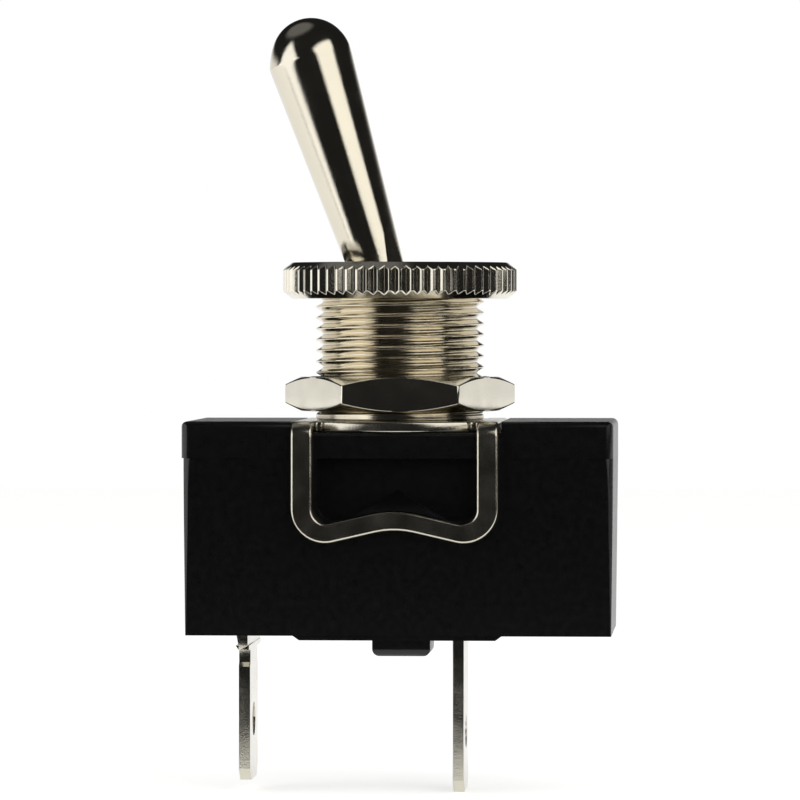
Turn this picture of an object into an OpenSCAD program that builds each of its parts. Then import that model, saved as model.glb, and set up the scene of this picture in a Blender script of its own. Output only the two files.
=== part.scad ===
// Panel toggle switch, single pole, with a bat lever and two blade terminals.
// Millimetres. The origin is on the bush axis, on the seat of the hex nut that
// the back of the panel rests on. +Z runs up the bush towards the lever.

/* [Threaded bush] */
// Outside diameter of the bush thread
thread_d = 11.9; // [11.6:0.05:12.2]
// Distance from one thread to the next
thread_pitch = 0.77; // [0.7:0.002:1]
// Depth of the thread
thread_depth = 0.42; // [0.3:0.01:0.45]
// How far the top of the bush lies below the top of the knurled nut
bush_recess = 0.25; // [0.1:0.05:0.6]
// Plain shank between the strap and the first thread
plain_shank = 0.4; // [0.35:0.05:0.65]
// Step from the thread down to the spigot that stands in the strap
spigot_step = 0.75; // [0.6:0.05:0.9]
// Height of the rim that is staked over under the strap
stake_h = 0.45; // [0.35:0.05:0.5]
// How far that rim spreads past the spigot
stake_lip = 0.4; // [0.3:0.05:0.5]
// Diameter of the opening over the lever's ball
neck_d = 6.6; // [6.2:0.1:6.8]
// Metal left between the pin's slots and the thread
pin_cover = 0.75; // [0.6:0.05:0.9]
// Chamfer on the top of the bush and in the nuts
thread_chamfer = 0.4; // [0.2:0.05:0.45]

/* [Nuts] */
// Clear space between the two nuts
panel_gap = 5.53; // [5:0.01:7]
// Hex nut across its flats
hex_af = 14.15; // [13.8:0.05:15]
// Thickness of the hex nut
hex_t = 2.4; // [2.2:0.05:2.8]
// Gap between the hex nut and the strap
hex_lift = 0.65; // [0.6:0.05:0.8]
// Slope of the hex nut's corner chamfers
hex_chamfer_angle = 27; // [20:1:30]
// Turn at which the hex nut is run down
hex_turn = 3.5; // [0:0.5:30]
// Diameter of the knurled nut
knurl_d = 16.56; // [16:0.05:18]
// Thickness of the knurled nut
knurl_t = 2.55; // [2.2:0.05:3]
// Number of teeth around the knurled nut
knurl_teeth = 66; // [48:1:80]
// Depth of the knurl
knurl_depth = 0.33; // [0.2:0.01:0.4]
// Turn of the knurled nut within one tooth
knurl_turn = 1.1; // [0:0.1:5]
// Chamfer on both edges of the knurled nut, measured across its faces
knurl_chamfer = 0.62; // [0.4:0.02:0.8]
// Height of the same chamfer
knurl_chamfer_h = 0.52; // [0.3:0.02:0.7]
// Running clearance between the nuts and the bush
nut_clearance = 0.04; // [0.02:0.01:0.08]

/* [Lever] */
// Height of the lever's pivot above the panel's rear seat
pivot_z = 2; // [1.8:0.05:2.4]
// Whole swing of the lever from stop to stop
throw_angle = 34.4; // [31:0.2:35]
// Diameter of the round tip
tip_d = 5.8; // [5:0.1:6.4]
// Distance from the pivot to the middle of the round tip
tip_reach = 21.5; // [19:0.5:25]
// Diameter that the bat tapers down to at the pivot
root_d = 2.98; // [2.6:0.02:3.2]
// Diameter of the ball that turns in the bush
ball_d = 8; // [7.8:0.05:8.1]
// Clearance all round the ball
ball_clearance = 0.15; // [0.1:0.01:0.2]
// Length of the barrel below the pivot
barrel_len = 8.6; // [8.2:0.1:8.8]
// Gap left between the barrel and the bush at each stop
stop_gap = 0.15; // [0.1:0.01:0.2]
// Wall of the barrel round its bore
barrel_wall = 0.6; // [0.5:0.05:0.65]
// Depth of solid metal between the pin's hole and the barrel's bore
pin_land = 0.8; // [0.6:0.05:1]
// Diameter of the pivot pin
pin_d = 1.6; // [1.4:0.05:1.8]
// Running clearance of the pin in the lever
pin_clearance = 0.04; // [0.02:0.01:0.08]
// Height above the knurled nut at which the two flats on the bat run out
flat_rise = 2.3; // [1.5:0.1:3]
// Slope of the flats to the lever's axis
flat_slope = 5.3; // [4.8:0.1:5.6]
// Turn of the flats round the lever's axis from the front
flat_turn = 44; // [30:1:60]

/* [Strap] */
// Width of the strap
strap_w = 14.45; // [14.2:0.05:15]
// Thickness of the strap's sheet
sheet_t = 0.8; // [0.7:0.05:1]
// Width of the legs of each loop
leg_w = 1.5; // [1.3:0.05:1.7]
// Width of the bar across the foot of each loop
bar_w = 1.33; // [1.2:0.01:1.5]
// Drop from the strap's top to the lower edge of the bar at its middle
bar_drop = 7.57; // [7.4:0.01:7.8]
// Slope of the bar on either side of its middle
bar_slope = 13; // [10:0.5:16]
// Outer corner radius of each loop
loop_r = 2.4; // [2.2:0.05:2.7]
// Corner radius of the window in each loop
window_r = 1; // [0.7:0.05:1.3]
// Radius of the arch in the middle of the bar
arch_r = 6; // [4:0.5:8]
// Inner radius of the bends
bend_r = 0.25; // [0.2:0.05:0.4]
// Radius of the bowed front and back edges of the top plate
bow_r = 10.6; // [9.5:0.1:14]
// How far the bowed edges stay behind the base's outer face
bow_inset = 0.05; // [0:0.01:0.1]
// Width of the relief beside each leg
notch_w = 0.6; // [0.4:0.05:0.8]
// Depth of that relief behind the bowed edge
notch_depth = 1.95; // [1.6:0.05:2.1]
// Sideways offset of the strap from the bush, as assembled
strap_offset = 0.1; // [0:0.05:0.15]

/* [Housing] */
// Width of the housing
housing_w = 30.15; // [29.5:0.05:33]
// Depth of the housing
housing_d = 15.4; // [15.2:0.1:17]
// Height of the housing
housing_h = 14.95; // [14.8:0.05:17]
// Height of the cover's outer face
cover_h = 2.57; // [2.4:0.01:2.8]
// Thickness of the cover under the strap
cover_roof = 1.4; // [1.2:0.05:1.5]
// Overhang of the cover past the base
cover_overhang = 0.06; // [0.04:0.01:0.3]
// Rounding of the cover's top edges
cover_round = 0.45; // [0.2:0.05:0.6]
// Sideways set of the base under the cover, as moulded
base_shift = 0.06; // [0:0.01:0.15]
// Radius of the housing's upright corners
corner_r = 0.6; // [0.4:0.05:1]
// Draft of the base's outer walls in degrees
draft = 0.7; // [0:0.1:1]
// Wall at the two ends of the base
end_wall = 1.8; // [1.5:0.1:2.2]
// Wall behind the pockets at the front and back of the base
pocket_wall = 1.3; // [1:0.1:1.5]
// Thickness of the base's floor
floor_t = 2; // [1.6:0.1:2.1]
// Depth of the pockets behind the loops
pocket_depth = 1.1; // [0.9:0.05:1.2]
// Height of the pockets
pocket_h = 4.35; // [4.2:0.05:4.5]
// Radius of the pockets' lower corners
pocket_r = 1.1; // [0.6:0.1:1.6]
// Margin between a pocket and the loop round it
pocket_margin = 0.18; // [0.1:0.02:0.3]
// Height of the wedge that each loop snaps under
wedge_h = 2.12; // [1.9:0.02:2.4]
// How far each wedge stands out past the base
wedge_out = 0.7; // [0.4:0.05:0.8]
// Height of the locating rim on the cover
rim_h = 0.8; // [0.5:0.1:1.2]
// Thickness of the locating rim
rim_t = 0.9; // [0.7:0.05:1.1]
// Length of the raised foot under the base
foot_l = 14.6; // [13:0.1:16]
// Height of the raised foot
foot_h = 0.32; // [0.15:0.01:0.4]
// Width of the key under the base
key_w = 4.1; // [3:0.05:4.5]
// Depth of the key from front to back
key_d = 5; // [4:0.1:8]
// Height of the key below the base
key_h = 1.73; // [1:0.01:1.9]
// Rounding of the key's edges
key_round = 0.55; // [0.3:0.05:0.8]
// Sideways offset of the housing from the bush, as assembled
housing_offset = 0.23; // [0.1:0.01:0.35]
// Play between a moulding and what sits in it
mould_play = 0.1; // [0.05:0.01:0.15]
// Room round the barrel in the cover's slot
barrel_room = 0.4; // [0.3:0.05:0.6]
// Side slope of the wedges in degrees
wedge_slope = 31; // [25:1:36]
// End bevel of the foot
foot_bevel = 0.45; // [0.3:0.05:0.6]
// Set back of the foot from the base's front and back faces
foot_inset = 0.3; // [0.2:0.05:0.5]

/* [Terminals] */
// Width of the blade terminals
blade_w = 6.3; // [6.2:0.05:6.4]
// Thickness of the blade terminals
blade_t = 0.8; // [0.7:0.05:0.85]
// Distance of the load terminal from the bush axis
load_x = 10.8; // [10.6:0.1:11.4]
// Distance of the common terminal from the bush axis
common_x = 4.3; // [4.1:0.1:5]
// Length of the load terminal below the base
load_len = 10.5; // [9:0.1:12]
// Length of the common terminal below the base
common_len = 11.3; // [9:0.1:12]
// Diameter of the hole in each blade
blade_hole_d = 2.4; // [1.6:0.05:2.6]
// Distance of the hole from the tip of the blade
blade_hole_up = 4.2; // [3.6:0.1:5]
// Height of the cut corners at the tip of each blade
blade_cut = 0.85; // [0.5:0.05:1.2]
// Width of the load terminal's shoulders
shoulder_w = 10.3; // [8:0.1:11]
// Height of the load terminal's shoulders
shoulder_h = 0.85; // [0.6:0.05:1.4]
// How much thinner the shoulders are at their lower end
shoulder_taper = 0.15; // [0.05:0.05:0.3]
// Height of the swaged lip under the shoulders
lip_h = 0.33; // [0.2:0.01:0.5]
// How far the lip stands out from the blade's faces
lip_out = 0.07; // [0.03:0.01:0.15]
// Height of the load terminal's neck below the lip
load_neck_h = 0.95; // [0.5:0.05:1.5]
// How far the neck stands in from the blade's edges
load_neck_in = 0.3; // [0.1:0.05:0.5]

/* [Contacts] */
// Height of the rocker's trunnions above the foot of their cradle
trunnion_rise = 3.2; // [3:0.05:3.4]
// Diameter of the plunger's round end
plunger_tip_d = 2.8; // [2.75:0.05:3]
// Stroke of the plunger against its spring
plunger_stroke = 1.2; // [0.8:0.1:1.3]
// Clearance of the plunger in the barrel
plunger_clearance = 0.08; // [0.05:0.01:0.1]
// Wire of the spring
wire_d = 0.3; // [0.24:0.02:0.34]
// Turns of the spring
spring_turns = 6; // [5:1:7]
// Smallest gap between the plunger and the middle of the rocker
rocker_gap = 0.3; // [0.28:0.01:0.4]
// Rise of each wing of the rocker
wing_angle = 14; // [12:0.5:15]
// Tilt of the rocker to either side
rocker_tilt = 8; // [7:0.25:9]
// Thickness of the rocker's strip
rocker_t = 0.8; // [0.6:0.05:1]
// Width of the rocker's strip
rocker_w = 5; // [4:0.1:5]
// Diameter of the rocker's trunnions
trunnion_d = 1.4; // [1.2:0.05:1.5]
// Running clearance of the trunnions in the cradle
trunnion_clearance = 0.05; // [0.03:0.01:0.08]
// Length of the cradle's ears
cradle_l = 3.8; // [3.4:0.1:4.2]
// Thickness of the cradle's sheet
cradle_t = 0.8; // [0.6:0.05:0.9]
// Play between the rocker's strip and each ear
ear_play = 0.2; // [0.15:0.05:0.3]
// Distance of the rocker's stop from the common terminal
stop_beyond = 2.7; // [2.5:0.1:3]
// Width of the rocker's stop
stop_w = 1.4; // [1:0.1:1.6]
// Distance along the wing from the middle to the contact
contact_reach = 8.6; // [8.2:0.1:8.8]
// Diameter of the contacts
contact_d = 3.5; // [3:0.1:3.6]
// Height of the moving contact's head
contact_h = 0.9; // [0.7:0.05:1]
// Thickness of the fixed contact's head
fixed_contact_h = 0.8; // [0.6:0.05:0.9]
// Gap left between the contacts when closed
contact_gap = 0.06; // [0.04:0.01:0.1]
// Metal left round each contact on the strip that carries it
contact_margin = 0.3; // [0.2:0.05:0.4]
// Diameter of the rivet that holds the cradle
rivet_d = 1.8; // [1.6:0.1:2]

/* [Hidden] */
$fn = 96;
eps = 0.01;   // overlap that makes a cut run clean through a face
far = 40;     // longer than the whole switch in any cut

// Levels from the top of the bush down to the underside of the housing
bush_top = panel_gap + knurl_t - bush_recess;
strap_top = -(hex_t + hex_lift);
strap_under = strap_top - sheet_t;
bush_bottom = strap_under - stake_h;
roof_under = strap_under - cover_roof;
split_z = strap_top - cover_h;
base_under = strap_top - housing_h;
inner_floor = base_under + floor_t;

// Bush
thread_r = thread_d / 2;
half_throw = throw_angle / 2;
ball_r = ball_d / 2;
bush_bore_r = ball_r + ball_clearance;
spigot_r = thread_r - spigot_step;
stake_r = spigot_r + stake_lip;
pin_slot_r = thread_r - thread_depth - pin_cover;
thread_from = strap_top + plain_shank;
thread_count = floor((bush_top - thread_chamfer - thread_from) / thread_pitch);
flank = thread_depth * tan(30);
neck_r = neck_d / 2;
neck_step = 0.05;                                    // step left between the ball's seat and its opening
neck_z = pivot_z + sqrt(pow(bush_bore_r - neck_step, 2) - neck_r * neck_r);
neck_land = 0.3;                                     // straight stretch over the ball, below the mouth
stake_bevel = 0.15;

// Lever, measured along its own axis from the pivot
tip_r = tip_d / 2;
root_r = root_d / 2;
taper = asin((tip_r - root_r) / tip_reach);
barrel_r = (bush_bore_r - stop_gap) * cos(half_throw) - (pivot_z - bush_bottom) * sin(half_throw);
bore_r = barrel_r - barrel_wall;
bore_top = -(pin_d / 2 + pin_clearance + pin_land);
nut_reach = (bush_top + bush_recess - pivot_z) / cos(half_throw);   // pivot to the nut's top
plunger_r = bore_r - plunger_clearance;
spring_spare = 0.26;                                 // length left in the spring when pressed home
plunger_top = bore_top - (spring_turns + 1) * wire_d - spring_spare - plunger_stroke;
spring_play = 0.07;                                  // coil to the wall of the barrel
coil_seat = 0.03;                                    // coil to the faces that it presses on
spring_r = bore_r - spring_play - wire_d / 2;
pin_end_play = 0.03;
flat_sunk = 2.6;                                     // length of the flats below the nut's top
mouth_clearance = 0.4;                               // bat to the bush's mouth at a stop
mouth_r = (bush_top - pivot_z) * tan(half_throw)
          + bat_r((bush_top - pivot_z) / cos(half_throw)) / cos(half_throw) + mouth_clearance;

// Strap
strap_face = housing_d / 2 + sheet_t;                // outer face of the loops
bend_outer = bend_r + sheet_t;
window_w = strap_w - 2 * leg_w;
bar_low = strap_top - bar_drop;                      // lower edge of the bar's middle
bow_face = housing_d / 2 - bow_inset;                // where the bowed edge comes to

// Housing
base_w = housing_w - 2 * cover_overhang;
base_d = housing_d - 2 * cover_overhang;
cavity_w = base_w - 2 * end_wall;
cavity_d = base_d - 2 * (pocket_depth + pocket_wall);
slot_half_w = barrel_r + barrel_room;
slot_half_l = (pivot_z - roof_under) * tan(half_throw) + barrel_r / cos(half_throw) + barrel_room;
pocket_bottom = split_z - pocket_h;

// Rocker: its trunnions turn in the cradle, under the plunger
cradle_floor = inner_floor + blade_t;
trunnion_z = cradle_floor + trunnion_rise;
trunnion_r = trunnion_d / 2;
vertex = [0, rocker_t * 0.8];                        // top of the vee, from the trunnions
plunger_reach = pivot_z - trunnion_z - vertex.y - (plunger_tip_d / 2 + rocker_gap) / cos(wing_angle);
wing_dir = [-cos(wing_angle), sin(wing_angle)];      // along the contact wing
wing_down = [-sin(wing_angle), -cos(wing_angle)];    // out of the wing's underside
contact_r = contact_d / 2;
shank_r = contact_r / 2;                             // of the contacts, where they are riveted in
contact_wing = contact_reach + contact_r + contact_margin;
contact_dome = 5;                                    // radius of the domed face
dome_closed = turned(vertex + contact_reach * wing_dir
                     + (rocker_t + contact_h - contact_dome) * wing_down, -rocker_tilt);
fixed_x = dome_closed.x;
fixed_top = trunnion_z + dome_closed.y - contact_dome - contact_gap;
load_flange_top = fixed_top - fixed_contact_h;
load_flange_end = fixed_x + contact_r + contact_margin;
stop_x = common_x + stop_beyond;                     // middle of the stop under the free wing
stop_play = 0.15;
wing_past = 0.3;                                     // how far the free wing reaches past its stop
free_wing = (stop_x + stop_w / 2 + wing_past) / cos(wing_angle - rocker_tilt);
wing_under = rocker_t / cos(wing_angle);             // upright depth of the strip
ear_in = rocker_w / 2 + ear_play;                    // inner face of the cradle's ears
terminal_bend = 0.4;                                 // inner radius of the terminals' bends
flange_past = 0.7;                                   // how far the common flange reaches past the cradle
rivet_head_r = rivet_d / 2 + 0.6;
rivet_bevel = 0.3;
rivet_upper_h = 0.5;                                 // height of the rivet's head on the cradle
rivet_lower_h = 0.4;                                 // height of its head under the common terminal

// Radius of the bat at a distance along the lever from its pivot
function bat_r(s) = root_r / cos(taper) + s * tan(taper);

// A point [x, z] turned about +Y, which takes +Z towards +X
function turned(p, a) = [p.x * cos(a) + p.y * sin(a), -p.x * sin(a) + p.y * cos(a)];

// Points of a polygon whose corners [x, y, radius] are rounded
function rounded(corners) = [
    for (i = [0 : len(corners) - 1])
        each arc_at(corners[(i + len(corners) - 1) % len(corners)], corners[i],
                    corners[(i + 1) % len(corners)])
];

function unit(v) = v / norm(v);

// Points of the arc that rounds corner b between its neighbours a and c
function arc_at(a, b, c) =
    let (p = [b.x, b.y], u = unit([a.x, a.y] - p), w = unit([c.x, c.y] - p),
         half = acos(u * w) / 2, mid = unit(u + w), centre = p + mid * b.z / sin(half),
         from = p + u * b.z / tan(half), to = p + w * b.z / tan(half),
         a0 = atan2(from.y - centre.y, from.x - centre.x),
         sweep = turn_within(atan2(to.y - centre.y, to.x - centre.x) - a0),
         steps = max(1, ceil(abs(sweep) / 6)))
    b.z == 0 ? [p] : [for (k = [0 : steps]) centre + b.z * [cos(a0 + sweep * k / steps),
                                                            sin(a0 + sweep * k / steps)]];

function turn_within(a) = a > 180 ? a - 360 : a < -180 ? a + 360 : a;

// Places its child on the lever's axis as it rests against the left stop
module on_lever() {
    translate([0, 0, pivot_z]) rotate([0, -half_throw, 0]) children();
}

// Stands a drawing in X and Z upright and gives it a depth, centred on Y
module upright(depth) {
    rotate([90, 0, 0]) linear_extrude(depth, center = true) children();
}

// Runs a drawing in Y and Z along X, centred
module along_x(length) {
    rotate([90, 0, 90]) linear_extrude(length, center = true) children();
}

// Does something once at the front and once, turned round, at the back
module front_and_back() {
    children();
    mirror([0, 1, 0]) children();
}

module cuboid(x0, x1, y0, y1, z0, z1) {
    translate([x0, y0, z0]) cube([x1 - x0, y1 - y0, z1 - z0]);
}

// A quarter of a ring between two radii, in the corner where x and y are positive
module quarter_ring(inner, outer) {
    intersection() {
        difference() {
            circle(outer);
            circle(inner);
        }
        square(outer + 1);
    }
}

module rounded_rect(w, d, r) {
    square([w - 2 * r, d], center = true);
    square([w, d - 2 * r], center = true);
    for (x = [-1, 1], y = [-1, 1]) translate([x * (w / 2 - r), y * (d / 2 - r)]) circle(r, $fn = 48);
}

// Bore with a chamfer at both mouths, to cut a nut with
module nut_bore(z0, z1) {
    r = thread_r + nut_clearance;
    c = thread_chamfer;
    translate([0, 0, z0 - 1]) cylinder(r = r, h = z1 - z0 + 2);
    translate([0, 0, z0 - eps]) cylinder(r1 = r + c + eps, r2 = r, h = c + eps);
    translate([0, 0, z1 - c]) cylinder(r1 = r, r2 = r + c + eps, h = c + eps);
}

// The bat, the ball that it swings on and the hollow barrel below
module lever() {
    color("gainsboro") on_lever() difference() {
        union() {
            rotate_extrude() bat_profile();
            sphere(ball_r);
            translate([0, 0, -barrel_len]) cylinder(r = barrel_r, h = barrel_len);
        }
        translate([0, 0, -barrel_len - 1]) cylinder(r = bore_r, h = barrel_len + 1 + bore_top);
        rotate([90, 0, 0]) cylinder(r = pin_d / 2 + pin_clearance, h = far, center = true);
        for (turn = [0, 180]) rotate([0, 0, flat_turn - 90 + turn]) bat_flat();
    }
}

// Half section of the bat: a cone that meets its round tip without a step
module bat_profile() {
    polygon([[0, 0], [root_r * cos(taper), -root_r * sin(taper)],
             [tip_r * cos(taper), tip_reach - tip_r * sin(taper)], [0, tip_reach]]);
    intersection() {
        translate([0, tip_reach]) circle(tip_r);
        translate([0, tip_reach - tip_r]) square([tip_r + 1, 2 * tip_r + 1]);
    }
}

// What a flat takes off the +X side of the bat, running out at flat_rise above the nut
module bat_flat() {
    s = nut_reach + flat_rise;
    translate([bat_r(s), 0, s]) rotate([0, flat_slope, 0])
        translate([0, -tip_d, -flat_rise - flat_sunk]) cube([tip_d, 2 * tip_d, flat_rise + flat_sunk]);
}

// Pin across the bush that the lever turns on
module lever_pin() {
    color("silver") translate([0, 0, pivot_z]) rotate([90, 0, 0])
        cylinder(d = pin_d, h = 2 * (pin_slot_r - pin_end_play), center = true);
}

// Coil that presses the plunger out of the barrel
module lever_spring() {
    low = plunger_top + wire_d / 2 + coil_seat;
    high = bore_top - wire_d / 2 - coil_seat;
    rings = spring_turns * 18;
    sides = 6;
    function ring(i) = let (a = 360 * spring_turns * i / rings, z = low + (high - low) * i / rings)
        [for (k = [0 : sides - 1]) let (r = spring_r + wire_d / 2 * cos(360 * k / sides))
            [r * cos(a), r * sin(a), z + wire_d / 2 * sin(360 * k / sides)]];
    points = [for (i = [0 : rings]) each ring(i)];
    walls = [for (i = [0 : rings - 1], k = [0 : sides - 1]) let (n = (k + 1) % sides)
        [i * sides + k, (i + 1) * sides + k, (i + 1) * sides + n, i * sides + n]];
    ends = [[for (k = [0 : sides - 1]) k], [for (k = [sides - 1 : -1 : 0]) rings * sides + k]];
    color("silver") on_lever() polyhedron(points, concat(walls, ends));
}

// Insulating plunger whose round end slides over the rocker
module plunger() {
    color("ivory") on_lever() {
        translate([0, 0, -plunger_reach]) cylinder(r = plunger_r, h = plunger_reach + plunger_top);
        translate([0, 0, -plunger_reach]) sphere(d = plunger_tip_d);
    }
}

// Half outline of the bush's outside, with a vee groove for each turn of the thread
module bush_outline() {
    grooves = [for (i = [0 : thread_count - 1]) let (z = thread_from + (i + 0.5) * thread_pitch)
        each [[thread_r, z - flank], [thread_r - thread_depth, z], [thread_r, z + flank]]];
    polygon(concat(
        [[0, bush_bottom], [stake_r - stake_bevel, bush_bottom], [stake_r, bush_bottom + stake_bevel],
         [stake_r, strap_under],
         [spigot_r, strap_under], [spigot_r, strap_top], [thread_r, strap_top]],
        grooves,
        [[thread_r, bush_top - thread_chamfer], [thread_r - thread_chamfer, bush_top], [0, bush_top]]));
}

// Threaded bush, staked into the strap, with a round seat for the lever's ball
module threaded_bush() {
    color("gainsboro") difference() {
        rotate_extrude() bush_outline();
        translate([0, 0, bush_bottom - 1]) cylinder(r = bush_bore_r, h = pivot_z - bush_bottom + 1);
        translate([0, 0, pivot_z]) intersection() {
            sphere(bush_bore_r);
            translate([0, 0, -1]) cylinder(r = bush_bore_r + 1, h = neck_z - pivot_z + 1);
        }
        translate([0, 0, pivot_z]) cylinder(r = neck_r, h = far);
        translate([0, 0, neck_z + neck_land])
            cylinder(r1 = neck_r, r2 = mouth_r, h = bush_top - neck_z - neck_land + eps);
        pin_slots();
    }
}

// Slots that let the pin in from below and hold its ends at the pivot
module pin_slots() {
    r = pin_d / 2 + eps;
    intersection() {
        union() {
            translate([0, 0, pivot_z]) rotate([90, 0, 0]) cylinder(r = r, h = far, center = true);
            cuboid(-r, r, -far, far, bush_bottom - 1, pivot_z);
        }
        cylinder(r = pin_slot_r, h = far, center = true);
    }
}

// Round panel nut with a straight knurl
module knurled_nut() {
    z0 = panel_gap;
    z1 = panel_gap + knurl_t;
    r = knurl_d / 2;
    c = knurl_chamfer;
    h = knurl_chamfer_h;
    pitch = 360 / knurl_teeth;
    crest = r + 0.06;            // sharp crest, which the turned diameter blunts
    root = r - knurl_depth;
    color("gainsboro") difference() {
        intersection() {
            translate([0, 0, z0]) rotate(knurl_turn) linear_extrude(knurl_t) polygon([
                for (i = [0 : knurl_teeth - 1]) each [
                    [crest * cos(pitch * i), crest * sin(pitch * i)],
                    [root * cos(pitch * (i + 0.5)), root * sin(pitch * (i + 0.5))]]]);
            rotate_extrude() polygon([[0, z0], [r - c, z0], [r, z0 + h], [r, z1 - h], [r - c, z1], [0, z1]]);
        }
        nut_bore(z0, z1);
    }
}

// Hex nut behind the panel, its corners chamfered on both faces
module hex_nut() {
    far_r = hex_af;              // any radius past the corners
    fall = (far_r - hex_af / 2) * tan(hex_chamfer_angle);
    color("gainsboro") difference() {
        intersection() {
            translate([0, 0, -hex_t]) rotate(hex_turn) cylinder(d = hex_af / cos(30), h = hex_t, $fn = 6);
            rotate_extrude() polygon([[0, -hex_t], [hex_af / 2, -hex_t], [far_r, fall - hex_t],
                                      [far_r, -fall], [hex_af / 2, 0], [0, 0]]);
        }
        nut_bore(-hex_t, 0);
    }
}

// Outline of a loop in X and Z, or of its window, down to the bar and round it
module loop_outline(half_w, low, corner, arch) {
    middle = low + arch * (1 / cos(bar_slope) - 1);
    side = middle - half_w * tan(bar_slope);
    top = strap_under - bend_r;
    polygon(rounded([[-half_w, top, 0], [-half_w, side, corner], [0, middle, arch],
                     [half_w, side, corner], [half_w, top, 0]]));
}

// Flat view of one loop: legs, rounded corners and the wavy bar
module loop_shape(grow = 0) {
    difference() {
        loop_outline(strap_w / 2 + grow, bar_low - grow, loop_r + grow, arch_r - grow);
        translate([0, eps]) loop_outline(window_w / 2 - grow, bar_low + bar_w + grow - eps,
                                         window_r - grow, arch_r + bar_w + grow);
    }
}

// Top plate in plan: bowed front and back edges, a relief beside each leg
module strap_plate_plan() {
    end = housing_d / 2 - bend_r;
    relief = bow_face - notch_depth;
    difference() {
        square([strap_w, 2 * end], center = true);
        for (s = [-1, 1]) scale([1, s]) translate([-window_w / 2, relief]) square([window_w, end]);
    }
    for (s = [-1, 1]) scale([1, s]) intersection() {
        translate([0, bow_face - bow_r]) circle(bow_r, $fn = 180);
        translate([-window_w / 2 + notch_w, relief - 1]) square([window_w - 2 * notch_w, end]);
    }
}

// Pressed strap: the plate that the bush is staked into and the two loops that hold the housing
module mounting_strap() {
    color("silver") translate([strap_offset, 0, 0]) difference() {
        union() {
            translate([0, 0, strap_under]) linear_extrude(sheet_t) strap_plate_plan();
            front_and_back() {
                for (x = [-1, 1]) translate([x * (strap_w - leg_w) / 2, 0, 0]) along_x(leg_w)
                    translate([-housing_d / 2 + bend_r, strap_under - bend_r])
                        mirror([1, 0]) quarter_ring(bend_r, bend_outer);
                translate([0, sheet_t / 2 - strap_face, 0]) upright(sheet_t) loop_shape();
            }
        }
        translate([-strap_offset, 0, strap_under - 1]) cylinder(r = spigot_r, h = sheet_t + 2);
    }
}

// Cover: the strap lies in a channel across its top, and a rim below locates the base
module cover() {
    rim_w = cavity_w - 2 * mould_play;
    rim_d = cavity_d - 2 * mould_play;
    channel_lip = 0.2;
    play = 2 * mould_play;
    color([0.09, 0.09, 0.09]) difference() {
        translate([housing_offset, 0, 0]) union() {
            cover_block();
            translate([0, 0, split_z - rim_h]) linear_extrude(rim_h + 1) rounded_rect(rim_w, rim_d, corner_r);
        }
        translate([housing_offset, 0, split_z - rim_h - 1]) linear_extrude(roof_under - split_z + rim_h + 1)
            rounded_rect(rim_w - 2 * rim_t, rim_d - 2 * rim_t, corner_r);
        translate([strap_offset, 0, 0])
            cuboid(-strap_w / 2, strap_w / 2 + play, -far, far, strap_under, strap_top + 1);
        front_and_back() translate([strap_offset + play / 2, 0, 0]) along_x(strap_w + play)
            polygon([[-housing_d / 2 - 1, strap_under + 1], [-housing_d / 2 + channel_lip, strap_under + 1],
                     [-housing_d / 2 + channel_lip, strap_under], [-housing_d / 2, strap_under - channel_lip],
                     [-housing_d / 2 - 1, strap_under - channel_lip]]);
        translate([0, 0, bush_bottom - mould_play]) cylinder(r = stake_r + play, h = far);
        lever_way();
    }
}

// Outside of the cover, its top edges rounded
module cover_block() {
    module round_topped(w) {
        polygon(rounded([[-w / 2, split_z, 0], [-w / 2, strap_top, cover_round],
                         [w / 2, strap_top, cover_round], [w / 2, split_z, 0]]));
    }
    intersection() {
        translate([0, 0, split_z]) linear_extrude(cover_h) rounded_rect(housing_w, housing_d, corner_r);
        upright(housing_d) round_topped(housing_w);
        along_x(housing_w) round_topped(housing_d);
    }
}

// Slot in the cover that the barrel swings through
module lever_way() {
    translate([0, 0, roof_under - 1]) linear_extrude(far) {
        square([2 * (slot_half_l - slot_half_w), 2 * slot_half_w], center = true);
        for (x = [-1, 1]) translate([x * (slot_half_l - slot_half_w), 0]) circle(slot_half_w);
    }
}

// Outside of the base, with draft on all four walls
module base_body() {
    fall = housing_h - cover_h;
    narrow = fall * tan(draft);
    module tapered(half) {
        polygon([[-half, split_z], [half, split_z],
                 [half - narrow, base_under], [narrow - half, base_under]]);
    }
    intersection() {
        translate([0, 0, base_under]) linear_extrude(fall) rounded_rect(base_w, base_d, corner_r);
        upright(far) tapered(base_w / 2);
        along_x(far) tapered(base_d / 2);
    }
}

// Pocket behind a loop, at the front
module pocket() {
    w = window_w - 2 * pocket_margin;
    outline = rounded([[-w / 2, split_z + 1, 0], [-w / 2, pocket_bottom, pocket_r],
                       [w / 2, pocket_bottom, pocket_r], [w / 2, split_z + 1, 0]]);
    translate([0, -base_d / 2 - 1 + (pocket_depth + 1) / 2, 0]) upright(pocket_depth + 1) polygon(outline);
}

// Wedge in the front pocket: it ramps out from the pocket's back and stops over the loop's bar
module wedge() {
    back = -base_d / 2 + pocket_depth;
    nose = -base_d / 2 - wedge_out;
    peak = pocket_bottom + wedge_h;
    nose_z = bar_low + bar_w;
    foot = wedge_h / tan(wedge_slope);
    step = 0.05;                 // how far the wedge's cut shoulders stand in from the base's face
    difference() {
        intersection() {
            upright(far) polygon([[-foot, pocket_bottom], [0, peak], [foot, pocket_bottom]]);
            along_x(far) polygon([[back + 1, peak], [back, peak], [nose, nose_z], [nose, pocket_bottom - 1],
                                  [back + 1, pocket_bottom - 1]]);
        }
        translate([strap_offset - housing_offset, -base_d / 2 - 1 - step, 0]) upright(2)
            loop_shape(grow = mould_play / 2);
        cuboid(-far, far, -far, -base_d / 2 - step, -far, bar_low + bar_w / 2);
    }
}

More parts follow.
